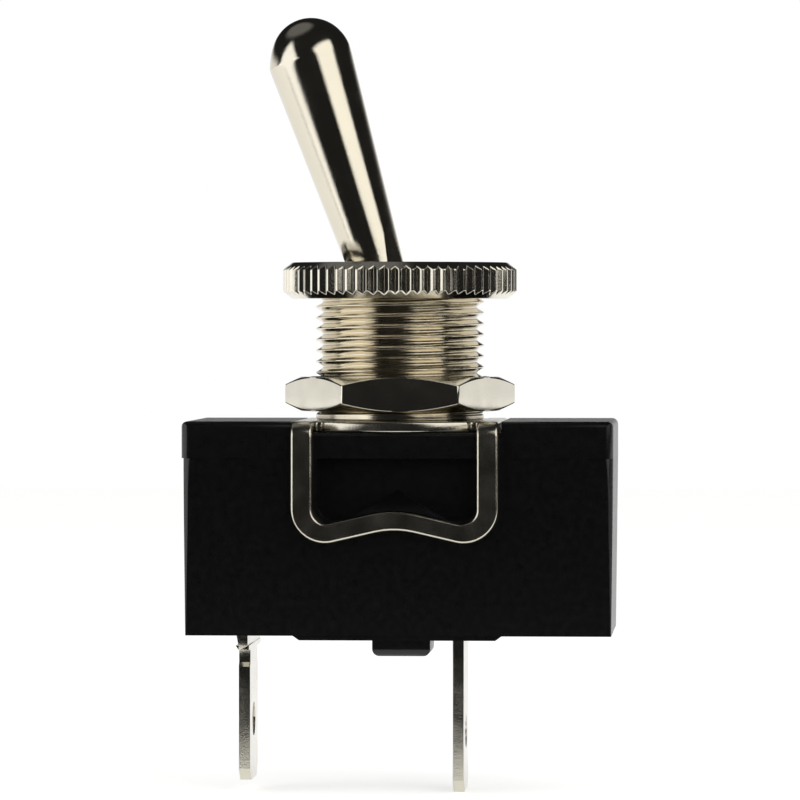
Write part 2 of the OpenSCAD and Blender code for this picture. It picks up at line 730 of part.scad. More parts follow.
// Base: box below the cover, with the terminals' slots, the load seat and the rocker's stop
module base() {
    seat_from = -load_x + blade_t / 2 + terminal_bend + mould_play;
    seat_d = rocker_w;
    stop_d = rocker_w - 1;
    stop_top = wing_height(stop_x + stop_w / 2) - wing_under - stop_play;
    color([0.08, 0.08, 0.08]) {
        difference() {
            translate([housing_offset, 0, 0]) {
                difference() {
                    translate([base_shift, 0, 0]) base_body();
                    translate([0, 0, inner_floor]) linear_extrude(far)
                        rounded_rect(cavity_w, cavity_d, corner_r);
                    front_and_back() pocket();
                }
                front_and_back() wedge();
                translate([0, 0, base_under]) foot();
            }
            terminal_slot(-load_x);
            terminal_slot(common_x);
            translate([0, 0, inner_floor - rivet_lower_h - mould_play])
                cylinder(r = rivet_head_r + 2 * mould_play, h = 1);
        }
        cuboid(seat_from, load_flange_end, -seat_d / 2, seat_d / 2,
               inner_floor - eps, load_flange_top - blade_t);
        cuboid(stop_x - stop_w / 2, stop_x + stop_w / 2, -stop_d / 2, stop_d / 2,
               inner_floor - eps, stop_top);
    }
}

// Raised foot and the key in the middle of it
module foot() {
    upright(base_d - 2 * foot_inset)
        polygon([[-foot_l / 2, eps], [-foot_l / 2, 0], [foot_bevel - foot_l / 2, -foot_h],
                 [foot_l / 2 - foot_bevel, -foot_h], [foot_l / 2, 0], [foot_l / 2, eps]]);
    intersection() {
        upright(key_d) key_face(key_w);
        along_x(key_w) key_face(key_d);
    }
}

// The key seen from one side
module key_face(w) {
    polygon(rounded([[-w / 2, 0, 0], [-w / 2, -key_h, key_round],
                     [w / 2, -key_h, key_round], [w / 2, 0, 0]]));
}

// Slot for a blade at x, its upper mouth bevelled to clear the inside of the terminal's bend
module terminal_slot(x) {
    w = blade_w / 2 + mould_play / 2;
    t = blade_t / 2 + mould_play / 2;
    bevel = terminal_bend + mould_play;
    cuboid(x - t, x + t, -w, w, base_under - 2, inner_floor + 1);
    translate([x, 0, 0]) upright(2 * w)
        polygon([[-t - bevel, inner_floor + eps], [-t, inner_floor - bevel],
                 [t, inner_floor - bevel], [t + bevel, inner_floor + eps]]);
}

// Height of the rocker's top at x on the free wing, as it rests
function wing_height(x) =
    let (v = turned(vertex, rocker_tilt)) trunnion_z + v.y + (x - v.x) * tan(wing_angle - rocker_tilt);

// A blade terminal in Y and Z, from its cut tip up to the foot of its bend
module blade_face(len, top) {
    tip = base_under - len;
    cut_w = 1.1;
    difference() {
        polygon([[-blade_w / 2, top], [-blade_w / 2, tip + blade_cut], [cut_w - blade_w / 2, tip],
                 [blade_w / 2 - cut_w, tip], [blade_w / 2, tip + blade_cut], [blade_w / 2, top]]);
        translate([0, tip + blade_hole_up]) circle(d = blade_hole_d, $fn = 48);
    }
}

// A blade standing at x that bends over at the top into a flange reaching to flange_end
module blade_terminal(x, len, flange_top, flange_end) {
    side = sign(flange_end - x);
    outer = terminal_bend + blade_t;
    bend_z = flange_top - outer;
    translate([x, 0, 0]) along_x(blade_t) blade_face(len, bend_z);
    upright(blade_w) translate([x - side * blade_t / 2, 0]) scale([side, 1]) {
        translate([outer, bend_z]) mirror([1, 0]) quarter_ring(terminal_bend, outer);
        translate([outer, flange_top - blade_t]) square([abs(flange_end - x) + blade_t / 2 - outer, blade_t]);
    }
}

// Load terminal: shoulders, a swaged lip and a neck below the base, and the fixed contact riveted
// into its flange
module load_terminal() {
    t = blade_t / 2;
    lip_top = base_under - shoulder_h;
    lip_low = lip_top - lip_h;
    neck_low = lip_low - load_neck_h;
    neck = blade_w / 2 - load_neck_in;
    color("darkgray") difference() {
        union() {
            blade_terminal(-load_x, load_len, load_flange_top, load_flange_end);
            translate([-load_x, 0, 0]) {
                upright(shoulder_w) polygon([[-t, base_under], [t, base_under],
                                             [t, lip_top - eps], [shoulder_taper - t, lip_top - eps]]);
                upright(shoulder_w - 2 * load_neck_in)
                    polygon([[-t - lip_out, lip_top], [t + lip_out, lip_top],
                             [t + lip_out, lip_low], [shoulder_taper - t, lip_low]]);
            }
        }
        front_and_back() translate([-load_x, 0, 0]) along_x(2 * blade_t)
            polygon([[-far, lip_low], [-neck, lip_low], [-neck, neck_low],
                     [-blade_w / 2, neck_low - load_neck_in], [-far, neck_low - load_neck_in]]);
        translate([fixed_x, 0, load_flange_top - blade_t - 1]) cylinder(r = shank_r, h = blade_t + 2);
    }
}

// Common terminal: its flange lies on the base's floor and carries the cradle
module common_terminal() {
    color("darkgray") difference() {
        blade_terminal(common_x, common_len, cradle_floor, -cradle_l / 2 - flange_past);
        translate([0, 0, inner_floor - 1]) cylinder(d = rivet_d, h = blade_t + 2);
    }
}

// Silver contact on the load terminal
module fixed_contact() {
    color("white") translate([fixed_x, 0, 0]) {
        translate([0, 0, load_flange_top]) cylinder(r = contact_r, h = fixed_contact_h);
        translate([0, 0, load_flange_top - blade_t]) cylinder(r = shank_r, h = blade_t + eps);
    }
}

// Places its child on the rocker's trunnions as the rocker rests, open
module on_rocker() {
    translate([0, 0, trunnion_z]) rotate([0, rocker_tilt, 0]) children();
}

// Places its child on the contact wing's underside, +Z pointing out of it
module on_contact_wing() {
    p = vertex + contact_reach * wing_dir + rocker_t * wing_down;
    translate([p.x, 0, p.y]) rotate([0, 180 + wing_angle, 0]) children();
}

// Bent strip that rocks under the plunger
module rocker() {
    right_dir = [cos(wing_angle), sin(wing_angle)];
    left = vertex + contact_wing * wing_dir;
    right = vertex + free_wing * right_dir;
    color("peru") on_rocker() difference() {
        union() {
            upright(rocker_w) polygon([vertex, right, right + rocker_t * [sin(wing_angle), -cos(wing_angle)],
                                       vertex - [0, wing_under], left + rocker_t * wing_down, left]);
            rotate([90, 0, 0])
                cylinder(r = trunnion_r, h = 2 * (ear_in + cradle_t) - ear_play, center = true);
        }
        on_contact_wing() translate([0, 0, -rocker_t - 1]) cylinder(r = shank_r, h = rocker_t + 2);
    }
}

// Silver contact with a domed face, riveted through the rocker
module moving_contact() {
    head_h = 0.25;               // upset end on the strip's upper face
    color("white") on_rocker() on_contact_wing() {
        intersection() {
            cylinder(r = contact_r, h = contact_h + 1);
            translate([0, 0, contact_h - contact_dome]) sphere(contact_dome);
        }
        translate([0, 0, -rocker_t]) cylinder(r = shank_r, h = rocker_t + eps);
        translate([0, 0, -rocker_t - head_h]) cylinder(r1 = shank_r + 0.1, r2 = shank_r + 0.3, h = head_h);
    }
}

// Cradle: a folded strip whose two ears hold the rocker's trunnions
module rocker_cradle() {
    ear_out = ear_in + cradle_t;
    bend = 0.3;
    top = trunnion_z + bend;
    notch = trunnion_r + trunnion_clearance;
    color("darkgray") difference() {
        union() {
            cuboid(-cradle_l / 2, cradle_l / 2, bend - ear_in, ear_in - bend,
                   cradle_floor, cradle_floor + cradle_t);
            front_and_back() along_x(cradle_l) {
                translate([bend - ear_in, cradle_floor + cradle_t + bend])
                    rotate(180) quarter_ring(bend, bend + cradle_t);
                translate([-ear_out, cradle_floor + cradle_t + bend])
                    square([cradle_t, top - cradle_floor - cradle_t - bend]);
            }
        }
        translate([0, 0, trunnion_z]) rotate([90, 0, 0]) cylinder(r = notch, h = far, center = true);
        cuboid(-notch, notch, -far, far, trunnion_z, far);
        cylinder(d = rivet_d, h = far, center = true);
    }
}

// Rivet through the cradle and the common terminal
module cradle_rivet() {
    inner_r = rivet_head_r - rivet_bevel;
    color("silver") {
        translate([0, 0, inner_floor]) cylinder(d = rivet_d, h = blade_t + cradle_t);
        translate([0, 0, cradle_floor + cradle_t])
            cylinder(r1 = rivet_head_r, r2 = inner_r, h = rivet_upper_h);
        translate([0, 0, inner_floor - rivet_lower_h])
            cylinder(r1 = inner_r, r2 = rivet_head_r, h = rivet_lower_h);
    }
}

lever();
lever_pin();
lever_spring();
plunger();
threaded_bush();
knurled_nut();
hex_nut();
mounting_strap();
cover();
base();
load_terminal();
common_terminal();
fixed_contact();
moving_contact();
rocker();
rocker_cradle();
cradle_rivet();
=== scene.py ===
"""Panel toggle switch: finished surfaces, materials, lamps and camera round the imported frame.

Lengths in the constants are millimetres and turned to metres where a shape is made. The frame's
origin is on the bush axis in the seat of the hex nut, with +Z up the bush and -Y at the front.
"""
import math

import bmesh
import bpy
import numpy as np
from mathutils import Matrix, Vector


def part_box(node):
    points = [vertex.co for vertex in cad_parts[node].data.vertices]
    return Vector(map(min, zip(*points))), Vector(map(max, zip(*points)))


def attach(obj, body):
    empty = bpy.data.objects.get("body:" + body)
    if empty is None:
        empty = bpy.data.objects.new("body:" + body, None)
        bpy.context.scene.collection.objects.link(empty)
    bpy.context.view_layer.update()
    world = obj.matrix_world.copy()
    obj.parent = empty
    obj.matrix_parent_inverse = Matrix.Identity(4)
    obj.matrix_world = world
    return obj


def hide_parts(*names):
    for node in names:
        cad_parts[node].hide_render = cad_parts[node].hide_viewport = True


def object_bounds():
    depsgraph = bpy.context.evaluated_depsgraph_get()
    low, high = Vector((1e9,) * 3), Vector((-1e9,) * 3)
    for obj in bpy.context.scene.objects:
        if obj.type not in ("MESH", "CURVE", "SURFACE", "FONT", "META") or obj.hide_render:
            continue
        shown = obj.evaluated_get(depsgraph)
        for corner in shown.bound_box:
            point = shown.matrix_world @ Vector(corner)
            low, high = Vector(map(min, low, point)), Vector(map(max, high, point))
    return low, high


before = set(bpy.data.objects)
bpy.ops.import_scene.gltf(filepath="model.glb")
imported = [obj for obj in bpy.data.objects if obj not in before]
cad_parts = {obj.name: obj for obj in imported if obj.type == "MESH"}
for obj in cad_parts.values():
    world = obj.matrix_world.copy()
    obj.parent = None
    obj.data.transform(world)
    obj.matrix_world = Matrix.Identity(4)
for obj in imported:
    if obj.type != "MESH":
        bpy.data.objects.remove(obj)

MM = 0.001
cad_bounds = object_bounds()


# ---------------------------------------------------------------- sizes, in millimetres

def level(node, corner, axis):
    """One coordinate of a node's box in millimetres; corner 0 is its lowest, 1 its highest."""
    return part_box(node)[corner][axis] / MM


# Lever: a coned bat with a round tip, a ball in the bush and a hollow barrel below it. Heights and
# ends are distances from the pivot along the lever's own axis.
LEVER_TILT = math.radians(17.7)
LEVER_PLAY = 0.17          # sideways, as it sits loose on its pin
PIVOT_Z = 2.0
TIP_CENTRE = 21.62
TIP_RADIUS = 2.81
TIP_OFFSET = 0.1           # of the dome's centre from the lever's axis
DOME_SPREAD_FROM = math.radians(52)
DOME_SPREAD_TO = math.radians(89)
SHOULDER_RADIUS = 2.99
SHOULDER_STEP = 0.02       # of the cone's top outside the dome's foot
CROWN_SLOPE = 0.05
BAT_RADIUS_AT_PIVOT = 1.563    # of the cone's straight side, carried on down to the pivot
BAT_TAPER = 0.0661
BALL_RADIUS = 4.0
NECK_AT_BALL = 1.75
BARREL_RADIUS = 1.958
BORE_RADIUS = 1.358
BARREL_END = 8.6
BORE_END = 1.64            # below the pivot, as are the barrel's ends
BARREL_TOP = 4.2
BARREL_CHAMFER = 0.1
FLAT_TOP = 8.67
FLAT_LENGTH = 4.9
FLAT_SLOPE = math.radians(7.2)
FLAT_TURN = math.radians(52)
FLAT_WITHIN = 2.4          # radius beyond which a flat doesn't cut

# Threaded bush
BUSH_TOP = level("threaded_bush", 1, 2)
BUSH_BOTTOM = level("threaded_bush", 0, 2)
THREAD_RADIUS = level("threaded_bush", 1, 0)
THREAD_PITCH = 0.77
THREAD_DEPTH = 0.47
THREAD_CREST = 0.09        # width of the flat on the crest
THREAD_PHASE = 0.885       # turns by which a crest at the angle 0 is off z = 0
THREAD_FLANK = math.tan(math.radians(60))
THREAD_ROOT_BLEND = 0.12
THREAD_RIM_DROP = 0.42     # of the top chamfer, in radius
PLAIN_SHANK = 0.32         # height above the strap where the thread begins to fade in
THREAD_RUN_OUT = 0.5
SHANK_CHAMFER = 0.1
STRAP_TOP = level("mounting_strap", 1, 2)
STRAP_THICKNESS = 0.8
STRAP_UNDER = STRAP_TOP - STRAP_THICKNESS
SPIGOT_RADIUS = 5.2
STAKE_RADIUS = 5.6
MOUTH_RADIUS = 4.19
NECK_RADIUS = 3.3
NECK_Z = 4.84
BUSH_BORE = 4.15

# Nuts
KNURL_RADIUS = 8.28
KNURL_TEETH = 66
KNURL_CREST = 0.09         # half the width of a tooth's crest
KNURL_CREST_RANGE = (0.6, 1.3)
KNURL_CHAMFER = 0.62
KNURL_CHAMFER_RISE = 0.84  # height over width
KNURL_EDGE_BLEND = 0.05
KNURL_TURN = math.radians(1.1)
NUT_BORE = 5.99
NUT_CHAMFER = 0.4
HEX_HALF = 7.075
HEX_SLOPE = math.tan(math.radians(27))
HEX_TURN = math.radians(3.5)
HEX_EDGE = 0.05            # width of the blunt edge between a chamfer and its face
HEX_CORNER_BLEND = 0.12


# ---------------------------------------------------------------- meshes

def new_piece(name, mesh, node, body, material):
    """Links a mesh as a piece that rides on a body and stands for a CAD node."""
    piece = bpy.data.objects.new(name, mesh)
    bpy.context.scene.collection.objects.link(piece)
    mesh.materials.clear()
    mesh.materials.append(material)
    mesh.polygons.foreach_set("use_smooth", np.ones(len(mesh.polygons), dtype=bool))
    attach(piece, body)
    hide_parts(node)
    return piece


def grid_mesh(name, points, closed_profile):
    """Mesh of quads through points[i, j], station i along a profile and station j round the axis.

    Each quad joins stations i, i + 1 and j, j + 1; the last column meets the first, and with
    closed_profile the last row does too. Stations that fall on the axis are merged into a pole.
    """
    rows, columns, _ = points.shape
    index = np.arange(rows * columns).reshape(rows, columns)
    if closed_profile:
        index = np.vstack([index, index[:1]])
    ahead = np.roll(index, -1, axis=1)
    quads = np.stack([index[:-1], ahead[:-1], ahead[1:], index[1:]], axis=-1).reshape(-1, 4)
    mesh = bpy.data.meshes.new(name)
    mesh.from_pydata((points.reshape(-1, 3) * MM).tolist(), [], quads.tolist())
    work = bmesh.new()
    work.from_mesh(mesh)
    bmesh.ops.remove_doubles(work, verts=work.verts, dist=1e-7)
    work.to_mesh(mesh)
    work.free()
    return mesh


def rounded_profile(corners, steps=4):
    """Polyline through corners (r, z, radius) with an arc of each radius in place of the corner.

    The arc touches both sides at radius / tan(half the corner angle) from the corner, and its
    points are the centre plus the radius at equal angles between the two touching points.
    """
    points = []
    count = len(corners)
    for i, (r, z, radius) in enumerate(corners):
        here = np.array([r, z])
        if radius == 0:
            points.append(here)
            continue
        back = np.array(corners[i - 1][:2]) - here
        on = np.array(corners[(i + 1) % count][:2]) - here
        back, on = back / np.linalg.norm(back), on / np.linalg.norm(on)
        half = math.acos(np.clip(back @ on, -1, 1)) / 2
        middle = (back + on) / np.linalg.norm(back + on)
        centre = here + middle * radius / math.sin(half)
        start, end = here + back * radius / math.tan(half), here + on * radius / math.tan(half)
        a0 = math.atan2(start[1] - centre[1], start[0] - centre[0])
        sweep = math.atan2(end[1] - centre[1], end[0] - centre[0]) - a0
        sweep = (sweep + math.pi) % (2 * math.pi) - math.pi
        for k in range(steps + 1):
            a = a0 + sweep * k / steps
            points.append(centre + radius * np.array([math.cos(a), math.sin(a)]))
    return np.array(points)


def spun(radius, height):
    """Points at radius[i, j] and height[i, j] with column j at the angle 2 pi j / columns."""
    columns = radius.shape[1]
    angle = 2 * math.pi * np.arange(columns) / columns
    return np.stack([radius * np.cos(angle), radius * np.sin(angle), height], axis=-1)


def weighted(piece):
    """Gives the flats their own normals, so that a small rounding doesn't shade a large face."""
    fix = piece.modifiers.new("flat normals", "WEIGHTED_NORMAL")
    fix.weight = 100
    fix.keep_sharp = False
    return piece


def smooth_min(a, b, blend):
    """Lower of two arrays, rounded where they cross: min(a, b) - blend * (1 - |a - b| / blend)^2 / 4."""
    nearness = np.clip(1 - np.abs(a - b) / blend, 0, 1)
    return np.minimum(a, b) - blend * nearness ** 2 / 4


def bat_lever(material):
    """Lever as a surface of revolution about its own axis, with two flats at the foot of the bat.

    From the tip down: a dome, the crowned cone, the ball, the barrel and its bore. The dome is a
    sphere whose radius grows by the square of the way from DOME_SPREAD_FROM to DOME_SPREAD_TO, until
    it meets the cone. On the flats the radius is the smaller of the cone's and plane distance /
    cos(angle to the flat).
    """
    tip_angle = np.linspace(0, DOME_SPREAD_TO, 44)
    way = (tip_angle - DOME_SPREAD_FROM) / (DOME_SPREAD_TO - DOME_SPREAD_FROM)
    reach = np.clip(way, 0, 1) ** 2
    tip_radius = TIP_RADIUS + (SHOULDER_RADIUS - SHOULDER_STEP - TIP_RADIUS) * reach
    tip = np.stack([tip_radius * np.sin(tip_angle), TIP_CENTRE + TIP_RADIUS * np.cos(tip_angle)], 1)
    neck_s = math.sqrt(BALL_RADIUS ** 2 - NECK_AT_BALL ** 2)
    along = np.concatenate([np.linspace(TIP_CENTRE - 0.02, TIP_CENTRE - 1.6, 16),
                            np.linspace(TIP_CENTRE - 1.8, FLAT_TOP + 0.5, 50),
                            np.linspace(FLAT_TOP + 0.4, neck_s + 0.25, 110)])
    straight = BAT_RADIUS_AT_PIVOT + BAT_TAPER * along
    crown = SHOULDER_RADIUS - CROWN_SLOPE * np.maximum(along - TIP_CENTRE + 0.2, 0)
    cone = np.stack([smooth_min(straight, crown, 0.06), along], 1)
    ball_angle = np.linspace(math.asin((NECK_AT_BALL + 0.2) / BALL_RADIUS),
                             math.pi - math.asin(BARREL_RADIUS / BALL_RADIUS), 36)
    ball = np.stack([BALL_RADIUS * np.sin(ball_angle), BALL_RADIUS * np.cos(ball_angle)], 1)
    barrel = np.array([[BARREL_RADIUS, -BARREL_TOP],
                       [BARREL_RADIUS, BARREL_CHAMFER - BARREL_END],
                       [BARREL_RADIUS - BARREL_CHAMFER, -BARREL_END],
                       [BORE_RADIUS + BARREL_CHAMFER, -BARREL_END],
                       [BORE_RADIUS, BARREL_CHAMFER - BARREL_END],
                       [BORE_RADIUS, -BORE_END],
                       [0, -BORE_END]])
    profile = np.concatenate([tip, cone, ball, barrel])[::-1]
    columns = 192
    angle = 2 * math.pi * np.arange(columns) / columns
    radius = np.repeat(profile[:, :1], columns, axis=1)
    height = np.repeat(profile[:, 1:], columns, axis=1)
    flat = BAT_RADIUS_AT_PIVOT + BAT_TAPER * FLAT_TOP - (FLAT_TOP - height) * math.tan(FLAT_SLOPE)
    on_bat = (height < FLAT_TOP) & (height > FLAT_TOP - FLAT_LENGTH) & (radius < FLAT_WITHIN)
    for side in (0, math.pi):
        facing = np.cos(angle - (FLAT_TURN - math.pi / 2 + side))
        plane = flat / np.maximum(facing, 0.3)
        radius = np.where(on_bat & (facing > 0.3), np.minimum(radius, plane), radius)
    points = spun(radius, height)
    points[-len(tip):, :, 0] += TIP_OFFSET * (1 - reach[::-1, None])
    lean = np.array(Matrix.Rotation(-LEVER_TILT, 3, "Y"))
    points = points @ lean.T + np.array([LEVER_PLAY, 0, PIVOT_Z])
    mesh = grid_mesh("bat_lever", points, False)
    return new_piece("bat_lever", mesh, "lever", "lever", material)


def screw_bush(material):
    """Bush with a right-hand thread of rounded root, a chamfered rim and a coned mouth.

    With t = z / pitch - angle / 2 pi, the distance u of t from the nearest whole number, in
    millimetres along the bush, sets the groove: (u - half the crest) * tan 60, held at the depth
    by a smooth minimum, and faded out towards the plain shank.
    """
    outer_z = np.linspace(STRAP_TOP + 0.02, BUSH_TOP - 0.02, 400)
    foot = rounded_profile([(BUSH_BORE, BUSH_BOTTOM, 0.05), (STAKE_RADIUS, BUSH_BOTTOM, 0.1),
                            (STAKE_RADIUS, STRAP_UNDER, 0), (SPIGOT_RADIUS, STRAP_UNDER, 0),
                            (SPIGOT_RADIUS, STRAP_TOP, 0)], 3)
    mouth = rounded_profile([(THREAD_RADIUS - 0.45, BUSH_TOP, 0), (MOUTH_RADIUS, BUSH_TOP, 0.08),
                             (NECK_RADIUS, NECK_Z, 0.2), (NECK_RADIUS, NECK_Z - 0.3, 0),
                             (BUSH_BORE, PIVOT_Z, 0.3), (BUSH_BORE, BUSH_BOTTOM + 0.3, 0)], 4)
    columns = 216
    angle = 2 * math.pi * np.arange(columns) / columns
    z = np.repeat(outer_z[:, None], columns, axis=1)
    turn = z / THREAD_PITCH - angle / (2 * math.pi) - THREAD_PHASE
    off = np.abs(turn - np.round(turn)) * THREAD_PITCH
    flank = (off - THREAD_CREST / 2) * THREAD_FLANK
    groove = np.maximum(smooth_min(flank, np.full_like(flank, THREAD_DEPTH), THREAD_ROOT_BLEND), 0)
    fade = np.clip((z - STRAP_TOP - PLAIN_SHANK) / THREAD_RUN_OUT, 0, 1)
    shank = np.full_like(z, THREAD_RADIUS) - groove * fade
    rim = THREAD_RADIUS - THREAD_RIM_DROP + (BUSH_TOP - z)
    shoulder = THREAD_RADIUS - SHANK_CHAMFER + np.minimum(z - STRAP_TOP, SHANK_CHAMFER)
    wall = np.minimum(np.minimum(shank, rim), shoulder)
    radius = np.concatenate([np.repeat(foot[:, :1], columns, 1), wall,
                             np.repeat(mouth[:, :1], columns, 1)])
    height = np.concatenate([np.repeat(foot[:, 1:], columns, 1), z,
                             np.repeat(mouth[:, 1:], columns, 1)])
    mesh = grid_mesh("screw_bush", spun(radius, height), True)
    return new_piece("screw_bush", mesh, "threaded_bush", "housing", material)


def knurled_ring(material):
    """Round nut: a chamfered ring whose outside is cut back by 66 vee grooves.

    At a distance d round the ring from the middle of a tooth the radius is less by d - half the
    crest's width, which gives flanks at 45 degrees, and each crest differs a little in width. The
    outside is the smooth minimum of that radius and the chamfered profile's. The stations are
    closest together at the crest's edge and at the root.
    """
    z0, z1 = level("knurled_nut", 0, 2), level("knurled_nut", 1, 2)
    pitch = 2 * math.pi * KNURL_RADIUS / KNURL_TEETH
    half = np.array([0, 0.075, 0.095, 0.125, 0.16, 0.2, 0.3, 0.4, 0.46, 0.49])
    fraction = np.concatenate([half, 1 - half[:0:-1]])
    columns = KNURL_TEETH * len(fraction)
    crest = np.random.default_rng(5).uniform(*KNURL_CREST_RANGE, (KNURL_TEETH, 1)) * KNURL_CREST
    away = np.minimum(fraction, 1 - fraction) * pitch
    grooved = (KNURL_RADIUS - np.maximum(away - crest, 0)).reshape(-1)
    tooth = (np.arange(KNURL_TEETH)[:, None] + fraction).reshape(-1)
    angle = 2 * math.pi * tooth / KNURL_TEETH + KNURL_TURN
    z = np.concatenate([[z0], np.linspace(z0 + 0.02, z0 + 0.6, 20), np.linspace(z0 + 0.7, z1 - 0.7, 6),
                        np.linspace(z1 - 0.6, z1 - 0.02, 20), [z1]])
    z = np.repeat(z[:, None], columns, axis=1)
    cone = KNURL_RADIUS - KNURL_CHAMFER + np.minimum(z - z0, z1 - z) / KNURL_CHAMFER_RISE
    outside = smooth_min(np.broadcast_to(grooved, z.shape), cone, KNURL_EDGE_BLEND)
    inner = rounded_profile([(NUT_BORE + NUT_CHAMFER, z1, 0.06), (NUT_BORE, z1 - NUT_CHAMFER, 0.05),
                             (NUT_BORE, z0 + NUT_CHAMFER, 0.05), (NUT_BORE + NUT_CHAMFER, z0, 0.06)], 3)
    radius = np.concatenate([outside, np.repeat(inner[:, :1], columns, 1)])
    height = np.concatenate([z, np.repeat(inner[:, 1:], columns, 1)])
    points = np.stack([radius * np.cos(angle), radius * np.sin(angle), height], axis=-1)
    mesh = grid_mesh("knurled_ring", points, True)
    return weighted(new_piece("knurled_ring", mesh, "knurled_nut", "knurled_nut", material))


def hex_ring(material):
    """Hex nut as columns round the axis; each column's profile follows the flats and chamfers.

    At an angle t from the middle of a flat the side stands at half / cos t, and the chamfer cone
    meets it (half / cos t - half) * slope below the face. The corners between flats are rounded
    by the smooth minimum. The profile's lower edge is listed as (radius, depth from the face), and
    the upper one is its mirror image.
    """
    z0, z1 = level("hex_nut", 0, 2), level("hex_nut", 1, 2)
    fine = np.concatenate([np.linspace(0, 24, 16, endpoint=False),
                           np.linspace(24, 30, 14, endpoint=False)])
    half_turn = np.concatenate([-fine[:0:-1], fine])
    corner = np.array([-30.0])
    t = np.radians(np.concatenate([corner, half_turn]))
    angle = np.concatenate([t + math.pi / 3 * k for k in range(6)]) + HEX_TURN + math.pi / 2
    t = np.tile(t, 6)
    side = smooth_min(HEX_HALF / np.cos(t), HEX_HALF / np.cos(math.pi / 3 - np.abs(t)),
                      HEX_CORNER_BLEND)
    drop = (side - HEX_HALF) * HEX_SLOPE
    face = HEX_HALF - 0.02
    level_row = np.zeros(len(t))
    bevel = 0.015 + np.maximum(drop - HEX_EDGE * HEX_SLOPE, 0.01)
    edge = [(NUT_BORE + NUT_CHAMFER, 0), (face - HEX_EDGE, 0), (face, 0.01),
            (np.maximum(side - HEX_EDGE, face + 0.02), bevel),
            (side - 0.01, drop + 0.03), (side, drop + 0.09)]
    out = np.array([r + level_row for r, _ in edge])
    deep = np.array([h + level_row for _, h in edge])
    bore_ends = [z1 - NUT_CHAMFER + level_row, z0 + NUT_CHAMFER + level_row]
    radius = np.concatenate([out, out[::-1], np.full((2, len(t)), NUT_BORE)])
    height = np.concatenate([z0 + deep, z1 - deep[::-1], bore_ends])
    points = np.stack([radius * np.cos(angle), radius * np.sin(angle), height], axis=-1)
    mesh = grid_mesh("hex_ring", points, True)
    return weighted(new_piece("hex_ring", mesh, "hex_nut", "hex_nut", material))


def eased_copy(node, name, body, material, width, segments=3):
    """The node's own solid, its triangles merged and its flat faces joined, with rounded edges."""
    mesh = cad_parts[node].data.copy()
    work = bmesh.new()
    work.from_mesh(mesh)
    bmesh.ops.remove_doubles(work, verts=work.verts, dist=2e-6)
    bmesh.ops.dissolve_limit(work, angle_limit=math.radians(0.6), verts=work.verts, edges=work.edges)
    work.to_mesh(mesh)
    work.free()
    piece = new_piece(name, mesh, node, body, material)
    bevel = piece.modifiers.new("eased edges", "BEVEL")
    bevel.width = width * MM
    bevel.segments = segments
    bevel.limit_method = "ANGLE"
    bevel.angle_limit = math.radians(28)
    bevel.miter_outer = "MITER_ARC"
    return weighted(piece)


# ---------------------------------------------------------------- materials

CLOUD_SIZE = 1.7           # of the duller patches on the plate
WORN_NICKEL = "#d5cfc0"
FILLER_SIZE = 0.5
FILLER_GREY = "#0b0b0d"
SKIN_GRAIN = 0.09
SKIN_DEPTH = 0.004
PLAIN_GRAIN = 0.15
PLAIN_GRAIN_DEPTH = 0.002


def colour(code):
    """Linear RGBA of an sRGB hex code: c / 12.92 below 0.04045, else ((c + 0.055) / 1.055)^2.4."""
    channels = [int(code[k:k + 2], 16) / 255 for k in (1, 3, 5)]
    return [c / 12.92 if c <= 0.04045 else ((c + 0.055) / 1.055) ** 2.4 for c in channels] + [1.0]


def add(tree, kind, inputs=None, **settings):
    """Adds a node; inputs maps an input's name or number to a value or to another node's output."""
    made = tree.nodes.new(kind)
    for key, value in settings.items():
        setattr(made, key, value)
    for key, value in (inputs or {}).items():
        if isinstance(value, bpy.types.NodeSocket):
            tree.links.new(value, made.inputs[key])
        else:
            made.inputs[key].default_value = value
    return made


def new_material(name):
    """Empty material with its tree, output and Object coordinates."""
    material = bpy.data.materials.new(name)
    material.use_nodes = True
    tree = material.node_tree
    tree.nodes.clear()
    place = add(tree, "ShaderNodeTexCoord").outputs["Object"]
    return material, tree, place


def finish_material(tree, shader):
    add(tree, "ShaderNodeOutputMaterial", {"Surface": shader.outputs["BSDF"]})


def nickel(name, tint, roughness, grain_mm, grain_depth, stretch=(1, 1, 1)):
    """Nickel plate on turned or pressed brass: a warm mirror broken up by fine pits and marks.

    grain_mm and grain_depth are the size and the depth of the pits, and a stretch above 1 makes
    them shorter along that axis.
    """
    material, tree, place = new_material(name)
    lay = add(tree, "ShaderNodeMapping", {"Vector": place, "Scale": stretch}).outputs["Vector"]
    pits = add(tree, "ShaderNodeTexNoise",
               {"Vector": lay, "Scale": 1 / (grain_mm * MM), "Detail": 4.0, "Roughness": 0.65})
    cloud = add(tree, "ShaderNodeTexNoise",
                {"Vector": place, "Scale": 1 / (CLOUD_SIZE * MM), "Detail": 3.0})
    dull = add(tree, "ShaderNodeMapRange",
               {"Value": cloud.outputs["Fac"], "From Min": 0.35, "From Max": 0.7,
                "To Min": roughness * 0.8, "To Max": roughness * 1.5}).outputs["Result"]
    bump = add(tree, "ShaderNodeBump", {"Height": pits.outputs["Fac"], "Strength": 1.0,
                                        "Distance": grain_depth * MM}).outputs["Normal"]
    tone = add(tree, "ShaderNodeMix", {"Factor": cloud.outputs["Fac"], "A": colour(tint),
                                       "B": colour(WORN_NICKEL)}, data_type="RGBA")
    shader = add(tree, "ShaderNodeBsdfPrincipled",
                 {"Base Color": tone.outputs["Result"], "Metallic": 1.0, "Roughness": dull,
                  "Normal": bump})
    finish_material(tree, shader)
    return material


